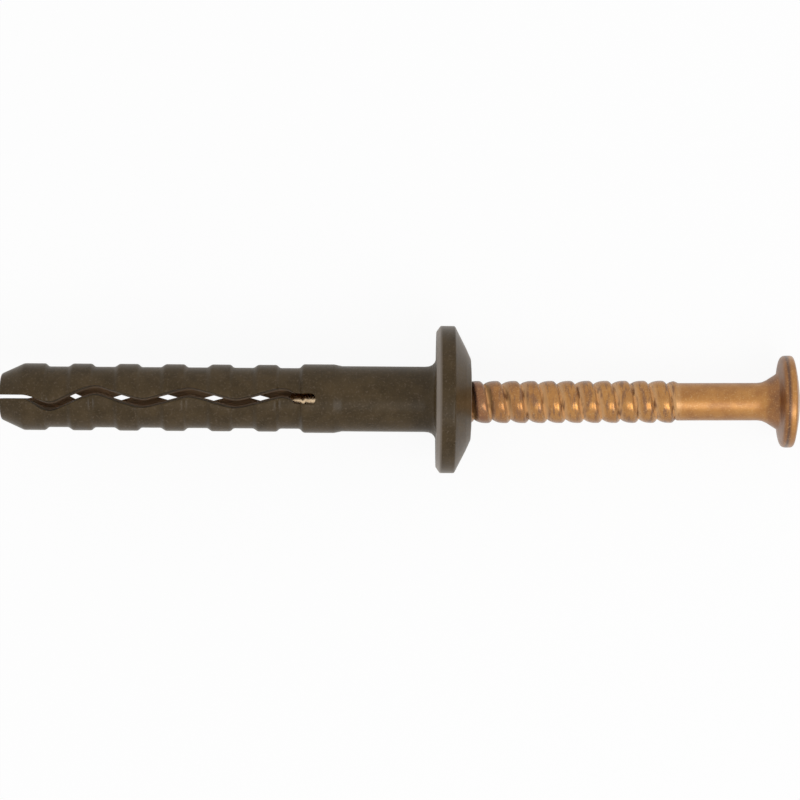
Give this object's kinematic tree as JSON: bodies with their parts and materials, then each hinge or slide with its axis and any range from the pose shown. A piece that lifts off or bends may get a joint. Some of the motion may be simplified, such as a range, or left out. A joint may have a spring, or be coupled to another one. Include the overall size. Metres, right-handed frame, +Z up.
{
  "type": "wall plug with screw",
  "caption": "Hammer-in wall plug: a ribbed nylon sleeve with a wavy split and a wide collar, and a threaded drive screw with a flat round head set part of the way in.",
  "frame": {"origin": "middle of the object's box, on the surface that it lies on", "axes": "+X along the object from the plug's nose to the screw's head, +Z up; lying on the collar's rim and the head's rim, the common axis of plug and screw dips 4.6 degrees towards the head"},
  "size_m": [0.0728, 0.0132, 0.0133],
  "materials": {
    "brown_nylon": "satin",
    "coppered_steel": "satin"
  },
  "bodies": {
    "plug": {"plug_sleeve": "brown_nylon"},
    "screw": {"drive_screw": "coppered_steel"}
  },
  "joints": [
    {"name": "screw_drive", "type": "slide", "parent": "plug", "child": "screw", "axis": [-0.9968, 0, 0.08], "range_m": [0, 0.02815], "deforming": ["plug_sleeve"]}
  ]
}
